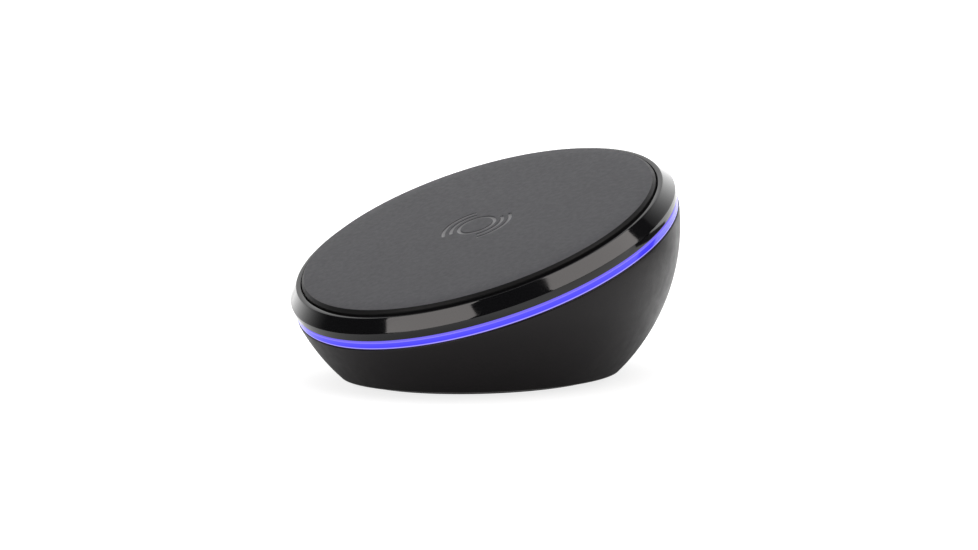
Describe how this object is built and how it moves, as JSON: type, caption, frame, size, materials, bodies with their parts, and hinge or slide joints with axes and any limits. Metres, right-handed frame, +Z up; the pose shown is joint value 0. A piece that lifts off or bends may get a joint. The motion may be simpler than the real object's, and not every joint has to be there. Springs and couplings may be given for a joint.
{
  "type": "wireless charging pad",
  "caption": "Ball-shaped desk charger with a tilted round soft pad, a glossy bezel, a glowing light band and a flat rubber foot.",
  "frame": {"origin": "on the table, in the middle of the round footprint, straight below the middle of the charging face", "axes": "+Z up, -Y towards the user and the low side of the tilted face, +Y towards the power inlet"},
  "size_m": [0.099, 0.0945, 0.0538],
  "materials": {
    "body_plastic": "moulded fine texture",
    "piano_black": "polished piano black",
    "light_diffuser": "frosted, lit violet-blue",
    "soft_pad": "soft-touch, fine matte grain",
    "foot_rubber": "matte",
    "plain_plastic": "moulded, untextured",
    "adhesive": "tape",
    "steel": "plain zinc",
    "copper": "enamelled litz wire",
    "ferrite": "sintered, matte",
    "board": "solder mask",
    "light_board": "white solder mask",
    "chip": "moulded epoxy",
    "ceramic": "fired",
    "led": "phosphor and housing",
    "connector": "nylon",
    "insulation": "silicone",
    "ribbon": "polyimide"
  },
  "bodies": {
    "root": {"ballast_screw_1": "steel", "ballast_screw_2": "steel", "ballast_weight": "steel", "base_plate": "plain_plastic", "base_screw_1": "steel", "base_screw_2": "steel", "base_screw_3": "steel", "base_screw_4": "steel", "bezel_ring": "piano_black", "board_screw_1": "steel", "board_screw_2": "steel", "board_screw_3": "steel", "body_shell": "body_plastic", "bulk_capacitor": "steel", "chassis_ring": "plain_plastic", "chassis_screw_1": "steel", "chassis_screw_2": "steel", "chassis_screw_3": "steel", "chassis_screw_4": "steel", "coil_lead_inner": "insulation", "coil_lead_outer": "insulation", "coil_tray": "plain_plastic", "controller_chip": "chip", "deck_plate": "plain_plastic", "driver_chip_1": "chip", "driver_chip_2": "chip", "ferrite_sheet": "ferrite", "foot_pad": "foot_rubber", "input_inductor": "ferrite", "led_1": "led", "led_10": "led", "led_11": "led", "led_12": "led", "led_2": "led", "led_3": "led", "led_4": "led", "led_5": "led", "led_6": "led", "led_7": "led", "led_8": "led", "led_9": "led", "led_board": "light_board", "led_connector": "connector", "led_ribbon": "ribbon", "light_ring": "light_diffuser", "main_board": "board", "pad_adhesive": "adhesive", "resonant_capacitor_1": "ceramic", "resonant_capacitor_2": "ceramic", "resonant_capacitor_3": "ceramic", "resonant_capacitor_4": "ceramic", "thermistor": "chip", "top_pad": "soft_pad", "transmit_coil": "copper", "tray_screw_1": "steel", "tray_screw_2": "steel", "tray_screw_3": "steel", "usb_c_receptacle": "steel"}
  },
  "joints": []
}
